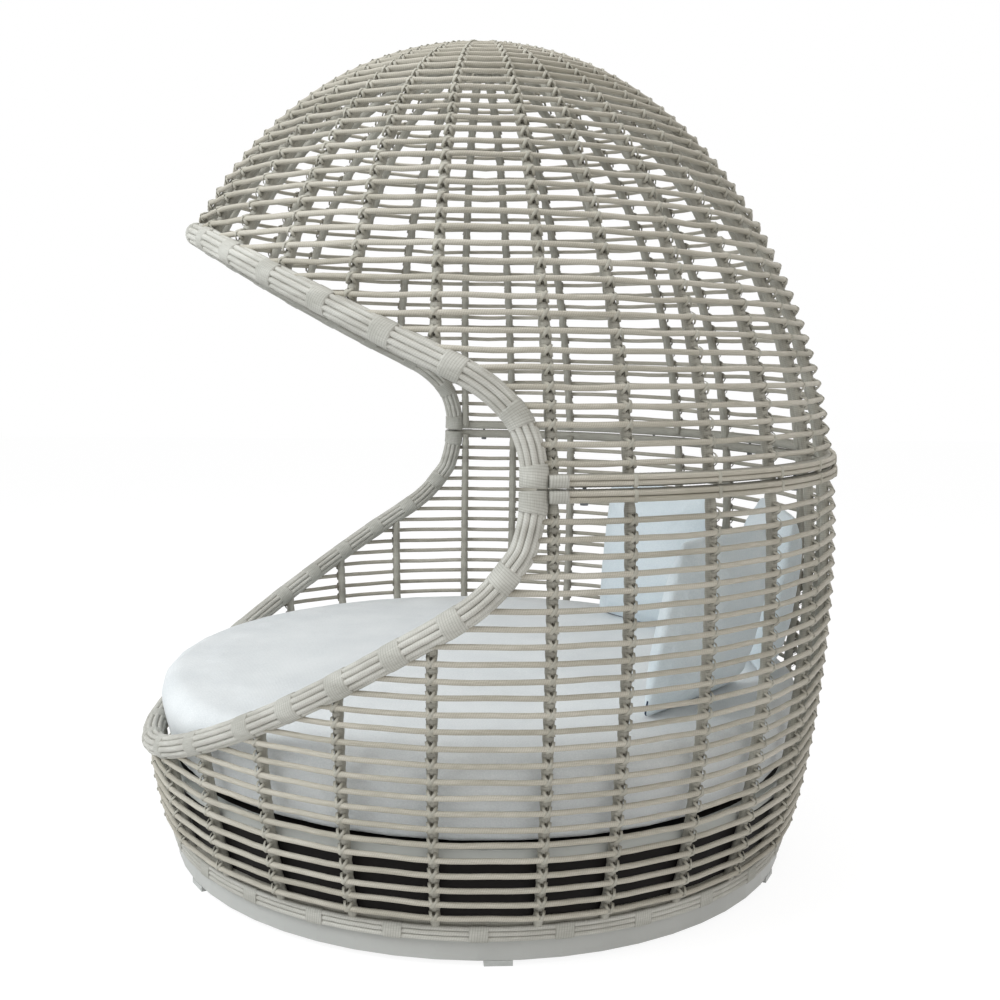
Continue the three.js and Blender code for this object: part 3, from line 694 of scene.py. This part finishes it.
def makeLashings(name, profile, crossings):
    chance = random.Random(name)
    ties, shadeNotches = [], []
    for arc, azimuth in crossings:
        origin, out, side, upward = shellFrame(profile, arc, azimuth)
        tilt = Quaternion(out, chance.uniform(-lashing["tilt"], lashing["tilt"]))
        grow = chance.uniform(*lashing["spread"])
        side.rotate(tilt)
        upward.rotate(tilt)
        matrix = frameMatrix(origin, side, upward, out, wide=grow)
        ties.append((lashingMesh, matrix))
        shadeNotches.append((notchMesh, matrix))
    addPiece(name + "Ties", joinStamps(name, ties), tieWicker)
    # the notches are dark patches of painted shade, not parts of the object
    addPiece(
        name + "Notches", joinStamps(name, shadeNotches), notchShadeFinish, smooth=False,
    )


makeLashings("basket", basketProfile, basketTied)
makeLashings("canopy", canopyProfile, canopyTied)


# ribs: flat bar in a wound sleeve, swelling a little between the rods that are tied on
ribs = {
    "width": 0.0228,
    "height": 0.0225,
    "sides": 10,
    "power": 2.6,
    "pinch": 0.17,
    "pinchDeep": 0.4,  # the depth's share of the pinch
    "basketFoot": 0.075,
    "crownEnd": 0.1,
    "steps": 6,  # stations for each row
    "findSteps": 160,
}


def crossingArc(profile, finder, azimuth, low, high):
    # where a rib meets its rim
    best = (1e9, low)
    for i in range(ribs["findSteps"] + 1):
        arc = low + (high - low) * i / ribs["findSteps"]
        point = shellFrame(profile, arc, azimuth, shell["ribDepth"])[0]
        best = min(best, (finder.find(point)[2], arc))
    return best[1]


def makeRibs(name, profile, finder, first, pitch, low, high, fromRim):
    strands = []
    section = ringOf(ribs["sides"], ribs["width"], ribs["height"], ribs["power"])
    for azimuth in ribAzimuths:
        start, end = low, high
        if math.sin(azimuth) < -math.sin(bay / 2):
            meets = crossingArc(profile, finder, azimuth, low, high)
            start, end = (meets, high) if fromRim else (low, meets)
        count = max(3, round((end - start) / pitch * ribs["steps"]))
        frames = []
        for i in range(count + 1):
            arc = start + (end - start) * i / count
            origin, out, side, upward = shellFrame(profile, arc, azimuth, shell["ribDepth"])
            turn = 2 * math.pi * (arc - first) / pitch
            pinch = 1 - ribs["pinch"] * (0.5 + 0.5 * math.cos(turn)) ** 2
            deep = 1 - (1 - pinch) * ribs["pinchDeep"]
            frames.append(frameMatrix(origin, side, out, upward, pinch, deep))
        strands.append(sweep(frames, section))
    return addStrands(name, strands, sleeveWicker)


canopyLength = canopyProfile[-1][0]
basketLength = basketProfile[-1][0]
basketRibs = makeRibs(
    "basketRibs", basketProfile, basketFinder, rows["basketFirst"], rows["basketPitch"],
    ribs["basketFoot"] - shell["footHeight"], basketLength - shell["rod"], False,
)
canopyRibs = makeRibs(
    "canopyRibs", canopyProfile, canopyFinder, rows["canopyFirst"], rows["canopyPitch"],
    shell["rod"], canopyLength - ribs["crownEnd"], True,
)
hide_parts("basket_frame")
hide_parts("canopy_frame")
print("ribs made")


# rims: round rods laid side by side round the tube, bound at intervals
rimLook = {
    "rod": 0.0129,
    "ringRadius": 0.0204,
    "count": 10,
    "sides": 8,
    "sway": 0.0007,  # how far a rod strays from its circle
    "wrapSides": 18,
    "wrapLong": 0.046,
    "wrapRadius": 0.0274,
    "junctionLong": 0.043,
    "junctionRadius": 0.0284,
    "turn": 0.0055,  # width of one turn of the strip
    "turnSwell": 0.0002,
    "endScale": 0.965,  # a bound place is drawn in at its ends,
    "endParts": 14,  # each one part in this many of its length
    # middles of the bound places, out from the tip to each side
    "basketWraps": (0, 0.192, 0.384, 0.576, 0.768, 0.899, 1.030, 1.161, 1.292, 1.423),
    "canopyWraps": (0.181, 0.335, 0.489, 0.643, 0.797, 0.951, 1.105, 1.259),
}


def makeRimRods(name, rim, towards):
    frames = framesAlong(rim)
    section = ringOf(rimLook["sides"], rimLook["rod"], rimLook["rod"])
    strands = []
    for j in range(rimLook["count"]):
        angle = math.radians(rims["tilt"]) * towards + 2 * math.pi * j / rimLook["count"] + math.pi / 2
        stations = []
        for i, base in enumerate(frames):
            sway = rimLook["sway"] * noise.noise(Vector((i * 0.23, j * 5.1, towards)))
            reach = rimLook["ringRadius"] + sway
            point = base @ Vector((math.cos(angle) * reach, math.sin(angle) * reach, 0))
            out = (base.to_3x3() @ Vector((math.cos(angle), math.sin(angle), 0))).normalized()
            stations.append((point, out))
        strands.append(sweep(framesAlong(stations), section))
    return addStrands(name, strands, rimWicker)


def wrapStations(long):
    # (length along, scale, swell) of a bound place, with a slight bulge for each turn of the strip
    count = max(6, round(long / rimLook["turn"] * 2))
    stations = []
    for i in range(count + 1):
        share = i / count
        edge = min(1.0, min(share, 1 - share) * rimLook["endParts"])
        scale = rimLook["endScale"] + (1 - rimLook["endScale"]) * math.sqrt(edge)
        stations.append((share * long, scale, rimLook["turnSwell"] * (i % 2)))
    return stations


def wrapOnPath(frames, step, middle, long, radius):
    # the path's own frames between two lengths
    made = []
    for along, scale, swell in wrapStations(long):
        at = (middle - long / 2 + along) / step
        i = max(0, min(len(frames) - 2, int(at)))
        matrix = frames[i].lerp(frames[i + 1], at - i)
        grow = scale * (1 + swell / radius)
        made.append(matrix @ Matrix.Diagonal((grow, grow, 1, 1)))
    return sweep(made, ringOf(rimLook["wrapSides"], 2 * radius, 2 * radius))


def makeRimWraps(name, rim, places):
    frames = framesAlong(rim)
    total = sum((b - a).length for (a, _), (b, _) in zip(rim, rim[1:]))
    step = total / (len(rim) - 1)
    junction = rimLook["junctionLong"]
    strands = [
        wrapOnPath(frames, step, junction / 2, junction, rimLook["junctionRadius"]),
        wrapOnPath(frames, step, total - junction / 2, junction, rimLook["junctionRadius"]),
    ]
    for place in places:
        for middle in {total / 2 - place, total / 2 + place}:
            strands.append(wrapOnPath(frames, step, middle, rimLook["wrapLong"], rimLook["wrapRadius"]))
    return addStrands(name, strands, stripWicker)


basketRimRods = makeRimRods("basketRimRods", basketRim, 1)
canopyRimRods = makeRimRods("canopyRimRods", canopyRim, -1)
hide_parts("basket_rim_rods")
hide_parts("canopy_rim_rods")
makeRimWraps("basketRimWraps", basketRim, rimLook["basketWraps"])
makeRimWraps("canopyRimWraps", canopyRim, rimLook["canopyWraps"])
print("rims made")


# waist and foot: rods on the hoops, wound hoops behind them
hoops = {
    "sides": 8,
    "rodStep": 0.02,
    "waistStart": 0.0377,  # angle at which the waist rods begin, beside the rims
    "waists": {
        # outside of the rods, under side of the pair, and a rod's size
        "canopy": (shell["waistRadius"] + 0.008, 0.9995, 0.0106),  # thinner, so that the wound hoop shows
        "basket": (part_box("basket_waist_rods")[1].x, 0.9705, shell["rod"]),
    },
    "power": 4.0,  # squareness of the wound sections
    "coilSides": 12,
    "coilTurn": 0.009,
    "coilBulge": 1.03,
    "coilStart": 0.004,
    "coilBehind": 0.011,
    "coil": (0.0256, 0.0215),  # tall and deep, as in the rows below
    "bandSides": 16,
    "endLong": 0.037,
    "endIn": 0.01,
    "endBehind": 0.006,
    "end": (0.0255, 0.031),
    "tieStart": 0.06,
    "tieLong": 0.0075,
    "tie": (0.0256, 0.0143),
    "halfBand": 0.006,  # half the thickness that a turn's swell is measured against
    "footRod": 0.011,
    "footWrapLong": 0.04,
    "footWrap": (0.0346, 0.0128),
    "footCoilBehind": 0.0105,
    "footCoilUp": 0.023,
    "footCoil": (0.047, 0.0215),
}


def ringFrame(radius, height, azimuth, wide=1.0, high=1.0):
    away, side = levelWays(azimuth)
    origin = away * radius + Vector((0, shell["axisY"], height))
    return frameMatrix(origin, Vector((0, 0, 1)), away, side, wide, high)


def ringSweep(frames, section, turn):
    # a full turn ends on its first frame
    whole = turn > 2 * math.pi - 0.01
    if whole:
        frames[-1] = frames[0]
    return sweep(frames, section, closed=whole)


def ringRod(radius, height, low, high, section):
    count = max(2, round((high - low) * radius / hoops["rodStep"]))
    frames = [ringFrame(radius, height, low + (high - low) * i / count) for i in range(count + 1)]
    return ringSweep(frames, section, high - low)


def coilRing(radius, height, low, high, size):
    # a hoop wound edge to edge with a flat strip
    count = 2 * round((high - low) * radius / hoops["coilTurn"])
    frames = []
    for i in range(count + 1):
        bulge = (1.0, hoops["coilBulge"])[i % 2]
        frames.append(ringFrame(radius, height, low + (high - low) * i / count, bulge, bulge))
    return ringSweep(frames, ringOf(hoops["coilSides"], *size, hoops["power"]), high - low)


def bandWrap(radius, height, middle, long, size):
    # a short binding round rods on a hoop
    frames = []
    for along, scale, swell in wrapStations(long):
        azimuth = middle + (along - long / 2) / radius
        grow = scale + swell / hoops["halfBand"]
        frames.append(ringFrame(radius, height, azimuth, grow, grow))
    return sweep(frames, ringOf(hoops["bandSides"], *size, hoops["power"]))


def makeWaist(name):
    outer, base, size = hoops["waists"][name]
    low, high = hoops["waistStart"], math.pi - hoops["waistStart"]
    middle = outer - shell["rod"] / 2
    level = base + shell["rod"]
    section = ringOf(hoops["sides"], size, size)
    rods = [ringRod(middle, level + shell["rod"] - (0.5 + i) * size, low, high, section) for i in range(2)]
    piece = addStrands(name + "WaistRods", rods, rodWicker)
    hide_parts(name + "_waist_rods")
    start = hoops["coilStart"]
    coilRadius = outer - shell["rod"] - hoops["coilBehind"]
    coil = coilRing(coilRadius, level, start, math.pi - start, hoops["coil"])
    turn = hoops["endLong"] / middle / 2 - hoops["endIn"]
    ends = [
        bandWrap(middle - hoops["endBehind"], level, azimuth, hoops["endLong"], hoops["end"])
        for azimuth in (low + turn, high - turn)
    ]
    ties = [
        bandWrap(middle, level, azimuth, hoops["tieLong"], hoops["tie"])
        for azimuth in ribAzimuths
        if hoops["tieStart"] < azimuth < math.pi - hoops["tieStart"]
    ]
    addStrands(name + "HoopCoil", [coil], sleeveWicker)
    addStrands(name + "HoopEnds", ends, stripWicker)
    addStrands(name + "HoopTies", ties, tieWicker)


makeWaist("canopy")
makeWaist("basket")


def makeFoot():
    size = hoops["footRod"]
    middle = shell["footRadius"] - size / 2
    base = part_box("base_rods")[0].z
    section = ringOf(hoops["sides"], size, size)
    rods = [ringRod(middle, base + (0.5 + i) * size, 0, 2 * math.pi, section) for i in range(3)]
    piece = addStrands("footRods", rods, rimWicker)
    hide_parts("base_rods")
    wraps = []
    for i in range(shell["ribs"]):
        azimuth = -math.pi / 2 + (i + 0.5) * bay
        wraps.append(bandWrap(middle, base + 1.5 * size, azimuth, hoops["footWrapLong"], hoops["footWrap"]))
    addStrands("footWraps", wraps, stripWicker)
    radius = shell["footRadius"] - shell["rod"] - hoops["footCoilBehind"]
    coil = coilRing(radius, base + hoops["footCoilUp"], 0, 2 * math.pi, hoops["footCoil"])
    addStrands("footHoopCoil", [coil], sleeveWicker)


makeFoot()


# crown: close rings of rod over a hub plate
crown = {
    "firstRing": 0.002,
    "ringPitch": 0.98,  # in rods
    "stations": 14,
    "step": 0.018,
    "tiedFrom": 0.045,  # rings larger than this are tied to every second rib
    "allTiedFrom": 0.09,  # and larger than this to every rib
    "hubInset": 0.008,
    "hubThick": 0.004,
    "hubHeight": 1.972,
}


def makeHub():
    # the plate that the ribs run on to, under the rings
    bm = bmesh.new()
    radius = shell["crown"] - crown["hubInset"]
    bmesh.ops.create_circle(bm, cap_ends=True, segments=shell["ribs"], radius=radius)
    top = bmesh.ops.extrude_face_region(bm, geom=list(bm.faces))["geom"]
    topVerts = [item for item in top if isinstance(item, bmesh.types.BMVert)]
    bmesh.ops.translate(bm, vec=(0, 0, crown["hubThick"]), verts=topVerts)
    place = (0, shell["axisY"] + leanAt(shell["topHeight"]), crown["hubHeight"])
    bmesh.ops.translate(bm, vec=place, verts=bm.verts)
    bmesh.ops.recalc_face_normals(bm, faces=bm.faces)
    addPiece("crownHub", meshFrom(bm, "crownHub"), framePaint, smooth=False)


def makeCrown():
    # close rings of rod over the hub, tied where the ribs pass under them
    rings, crossings = [], []
    section = ringOf(hoops["sides"], shell["rod"], shell["rod"])
    arc = canopyLength - shell["crown"] + crown["firstRing"]
    while arc < canopyLength - shell["rod"]:
        (_, radius, _), _ = tableAt(canopyProfile, arc, 0)
        count = max(crown["stations"], round(radius * 2 * math.pi / crown["step"]))
        frames = []
        for i in range(count):
            azimuth = 2 * math.pi * i / count
            origin, out, side, upward = shellFrame(canopyProfile, arc, azimuth)
            frames.append(frameMatrix(origin, upward * -1, out, side))
        rings.append(sweep(frames + frames[:1], section, closed=True))
        every = 1 if radius > crown["allTiedFrom"] else 2
        if radius > crown["tiedFrom"]:
            crossings += [(arc, azimuth) for azimuth in ribAzimuths[::every]]
        arc += shell["rod"] * crown["ringPitch"]
    piece = addStrands("crownRings", rings, rodWicker)
    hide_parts("crown_cap")
    makeLashings("crown", canopyProfile, crossings)
    makeHub()


makeCrown()
print("hoops and crown made")


# solids that stay as they are, by the start of their names
carried = {
    "plinth_band": plinthPaint,
    "deck_ring": deckPaint,
    "deck_skirt": blackBoard,
    "deck_board": blackBoard,
    "deck_beam": framePaint,
    "foot_glide": glideNylon,
    "waist_bolt": boltSteel,
}
for node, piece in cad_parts.items():
    for start, material in carried.items():
        if node.startswith(start):
            for slot in piece.material_slots:
                slot.material = material


# mattress and pillows: blown up as cloth inside the space their solids hold
padding = {
    "mattress": {
        "voxel": 0.018, "inset": 0.004, "swell": 0.02, "grow": -0.05, "smooth": 3, "fill": 0.85,
        "pressure": 4.0, "stiff": 18, "sunk": 0.004, "heldUnder": 0.02, "spare": (0.03, 0.05),
    },
    "pillow": {
        "voxel": 0.006, "inset": 0.009, "swell": 0.024, "grow": -0.045, "smooth": 3, "fill": 0.6,
        "pressure": 4.0, "stiff": 12, "sunk": 0.012, "heldUnder": 0.026, "fade": 0.02, "seamSpare": 0.3,
    },
    "frames": 20,
    "proud": 0.0008,  # past the solid's own surface
    "seam": 0.0022,
    "seamSunk": 0.0005,
    "pillowSize": 0.43,
    "round": 0.06,  # how far the corners are rounded, and the sides drawn in, in shares of half the size
    "waisted": 0.05,
    "pillows": {  # azimuth and lean in degrees
        "pillow_right": (43, 12),
        "pillow_middle": (81.5, 8),
        "pillow_left": (119.5, 6),
    },
}


def remeshed(name, bm, look, held):
    # an even grid of faces, a little inside the solid but for the held part
    mesh = bpy.data.meshes.new(name)
    bm.to_mesh(mesh)
    piece = bpy.data.objects.new(name, mesh)
    scene.collection.objects.link(piece)
    remesh = piece.modifiers.new("even", "REMESH")
    remesh.mode = "VOXEL"
    remesh.voxel_size = look["voxel"]
    even = bpy.data.meshes.new_from_object(piece.evaluated_get(bpy.context.evaluated_depsgraph_get()))
    piece.modifiers.clear()
    fine = bmesh.new()
    fine.from_mesh(even)
    bmesh.ops.recalc_face_normals(fine, faces=fine.faces)
    for _ in range(look["smooth"]):
        bmesh.ops.smooth_vert(
            fine, verts=fine.verts, factor=0.5, use_axis_x=True, use_axis_y=True, use_axis_z=True,
        )
    fine.normal_update()
    for vert in fine.verts:
        vert.co -= vert.normal * look["inset"] * (1 - held(vert.co))
    fine.to_mesh(even)
    fine.free()
    piece.data = even
    return piece


def blowUp(piece, look, held, loose):
    # cloth with air pressure; the seam or the underside is held, and the loose part has spare cloth
    holdGroup = piece.vertex_groups.new(name="held")
    spareGroup = piece.vertex_groups.new(name="spare")
    for vert in piece.data.vertices:
        holdGroup.add([vert.index], held(vert.co), "REPLACE")
        spareGroup.add([vert.index], loose(vert.co), "REPLACE")
    start = [vert.co.copy() for vert in piece.data.vertices]
    cloth = piece.modifiers.new("cloth", "CLOTH")
    settings = cloth.settings
    settings.quality = 5
    settings.mass = 0.3
    settings.tension_stiffness = look["stiff"]
    settings.compression_stiffness = look["stiff"]
    settings.shear_stiffness = 5
    settings.bending_stiffness = 0.4
    settings.use_pressure = True
    settings.uniform_pressure_force = look["pressure"]
    settings.effector_weights.gravity = 0
    settings.vertex_group_mass = "held"
    settings.vertex_group_shrink = "spare"
    settings.shrink_min = 0.0
    settings.shrink_max = look["grow"]
    cloth.collision_settings.use_collision = False
    cloth.point_cache.frame_start = 1
    cloth.point_cache.frame_end = padding["frames"]
    for step in range(1, padding["frames"] + 1):
        scene.frame_set(step)
    blown = bpy.data.meshes.new_from_object(piece.evaluated_get(bpy.context.evaluated_depsgraph_get()))
    for vert, before in zip(blown.vertices, start):
        moved = vert.co - before
        if moved.length > look["swell"]:
            vert.co = before + moved.normalized() * look["swell"]
    piece.modifiers.clear()
    piece.vertex_groups.clear()
    piece.data = blown
    scene.frame_set(1)


def keepNear(piece, solid, sunk):
    # no point stands far under the solid's surface, or so far past it that neighbours touch
    finder = BVHTree.FromBMesh(solid)
    for vert in piece.data.vertices:
        place, normal, _, _ = finder.find_nearest(vert.co)
        past = (vert.co - place).dot(normal)
        wanted = max(-sunk, min(padding["proud"], past))
        vert.co += normal * (wanted - past)


def softPiece(name, node, body, look, held, loose, material):
    solid = bmesh.new()
    solid.from_mesh(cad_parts[node].data)
    bmesh.ops.remove_doubles(solid, verts=solid.verts, dist=1e-5)
    bmesh.ops.triangulate(solid, faces=solid.faces)
    piece = remeshed(name, solid, look, held)
    blowUp(piece, look, held, loose)
    keepNear(piece, solid, look["sunk"])
    solid.free()
    piece.data.materials.clear()
    piece.data.materials.append(material)
    piece.data.shade_smooth()
    finer = piece.modifiers.new("finer", "SUBSURF")
    finer.levels = 1
    finer.render_levels = 1
    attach(piece, body)
    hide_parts(node)
    print("soft piece", name, len(piece.data.polygons))
    return piece


def makeMattress():
    low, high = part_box("mattress")
    look = padding["mattress"]

    def held(point):
        return 1.0 if point.z < low.z + look["heldUnder"] else 0.0

    def loose(point):
        return 1.0 if low.z + look["spare"][0] < point.z < high.z - look["spare"][1] else 0.0

    softPiece("mattressCover", "mattress", "mattress", look, held, loose, mattressCloth)


def pillowAxes(node):
    azimuth, lean = (math.radians(angle) for angle in padding["pillows"][node])
    away, across = levelWays(azimuth)
    rise = Vector((0, 0, math.cos(lean))) + away * math.sin(lean)
    back = across.cross(rise)
    points = [vert.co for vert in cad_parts[node].data.vertices]
    middle = Vector((0, 0, 0))
    for axis in (across, rise, back):
        reach = [point.dot(axis) for point in points]
        middle += axis * (min(reach) + max(reach)) / 2
    return middle, across, rise, back


def seamPoint(u, v):
    # the sewn outline: sides drawn in between the corners, corners rounded
    rounded = 1 - padding["round"] * (u * v) ** 2
    half = padding["pillowSize"] / 2
    inX, inY = padding["waisted"] * (1 - v * v), padding["waisted"] * (1 - u * u)
    return u * (rounded - inX) * half, v * (rounded - inY) * half


def makePillow(node):
    middle, across, rise, back = pillowAxes(node)
    name = node.replace("pillow_", "") + "Pillow"
    look = padding["pillow"]

    def held(point):
        return max(0.0, min(1.0, (look["heldUnder"] - abs((point - middle).dot(back))) / look["fade"]))

    def loose(point):
        return 1.0 if abs((point - middle).dot(back)) > look["fade"] else look["seamSpare"]

    cover = softPiece(name + "Cover", node, node, look, held, loose, pillowCloth)
    fine = bmesh.new()
    fine.from_mesh(cover.data)
    finder = BVHTree.FromBMesh(fine)
    fine.free()
    # only the lower edge closes with dark tape, which turns up at both corners
    corner = [(-1, -0.8), (-1, -0.9), (-0.99, -0.97), (-0.97, -0.99)]
    edge = [(-0.9 + 1.8 * i / 24, -1) for i in range(25)]
    outline = corner + edge + [(-u, v) for u, v in reversed(corner)]
    stations = []
    for u, v in outline:
        x, y = seamPoint(u, v)
        away = (across * u + rise * v).normalized()
        place = finder.find_nearest(middle + across * x + rise * y)[0]
        stations.append((place - away * padding["seamSunk"], away))
    seam = sweep(framesAlong(stations), ringOf(6, 2 * padding["seam"], 2 * padding["seam"]))
    addPiece(name + "Seam", seam, seamCloth, body=node)


makeMattress()
for node in padding["pillows"]:
    makePillow(node)
print("mattress and pillows made")


# camera, lights, floor
view = {
    "place": (3.1050, -0.3659, 1.2557),
    "heading": (-0.9919, 0.1271),
    "down": 7.0645,
    "roll": 0.826,
    "lens": 43.39,
    "sensor": 36,
}


def makeCamera():
    down = math.radians(view["down"])
    ahead = Vector((*view["heading"], 0)) * math.cos(down) - Vector((0, 0, math.sin(down)))
    camera = bpy.data.objects.new("camera", bpy.data.cameras.new("camera"))
    camera.data.lens = view["lens"]
    camera.data.sensor_width = view["sensor"]
    camera.location = view["place"]
    camera.rotation_mode = "QUATERNION"
    aim = ahead.to_track_quat("-Z", "Y")
    camera.rotation_quaternion = aim @ Quaternion((0, 0, 1), math.radians(view["roll"]))
    scene.collection.objects.link(camera)
    scene.camera = camera


lamps = {
    "key": {"place": (1.6, -3.6, 3.4), "size": 2.6, "power": 132, "colour": (0.94, 0.98, 1.0)},
    "fill": {"place": (3.8, 1.8, 2.6), "size": 3.0, "power": 30, "colour": (1.0, 0.96, 0.9)},
    "top": {"place": (0.0, 0.4, 4.6), "size": 3.0, "power": 60, "colour": (1.0, 1.0, 1.0)},
    "aim": (0, 0, 1),
    "sky": 0.51,
    "floorSize": 14,
    "floorGlow": 0.8,
    "floorStrength": 1.12,
}


def makeLights():
    for name in ("key", "fill", "top"):
        lamp = lamps[name]
        light = bpy.data.lights.new(name, "AREA")
        light.size = lamp["size"]
        light.energy = lamp["power"]
        light.color = lamp["colour"]
        made = bpy.data.objects.new(name, light)
        made.location = lamp["place"]
        made.rotation_mode = "QUATERNION"
        made.rotation_quaternion = (Vector(lamps["aim"]) - made.location).to_track_quat("-Z", "Y")
        scene.collection.objects.link(made)


def seenDirectly(tree):
    # 1 for camera, mirror and glass rays, 0 for the rays that light the object
    rays = addNode(tree, "ShaderNodeLightPath")
    seen = combine(tree, rays.outputs["Is Camera Ray"], rays.outputs["Is Glossy Ray"], "MAXIMUM")
    return combine(tree, seen, rays.outputs["Is Transmission Ray"], "MAXIMUM")


def makeWorld():
    world = bpy.data.worlds.new("studio")
    world.use_nodes = True
    tree = world.node_tree
    back = tree.nodes["Background"]
    back.inputs["Color"].default_value = (1, 1, 1, 1)
    tree.links.new(remap(tree, seenDirectly(tree), 0.0, 1.0, lamps["sky"]), back.inputs["Strength"])
    scene.world = world


def makeFloor():
    bm = bmesh.new()
    bmesh.ops.create_grid(bm, x_segments=1, y_segments=1, size=lamps["floorSize"])
    floorLook = {"Roughness": 0.9, "Base Color": (0.86, 0.86, 0.86, 1)}
    material, tree, shader = startFinish("studioFloor", **floorLook)
    glow = addNode(tree, "ShaderNodeEmission", {"Color": (1, 1, 1, 1), "Strength": lamps["floorStrength"]})
    share = remap(tree, seenDirectly(tree), 0.0, 1.0, 0.0, lamps["floorGlow"])
    mix = addNode(tree, "ShaderNodeMixShader", {0: share, 1: shader.outputs[0], 2: glow.outputs[0]})
    tree.links.new(mix.outputs[0], tree.nodes["Material Output"].inputs["Surface"])
    floor = bpy.data.objects.new("floor", meshFrom(bm, "floor"))
    floor.data.materials.append(material)
    scene.collection.objects.link(floor)


makeCamera()
makeLights()
makeWorld()
makeFloor()
scene.view_settings.view_transform = "Standard"
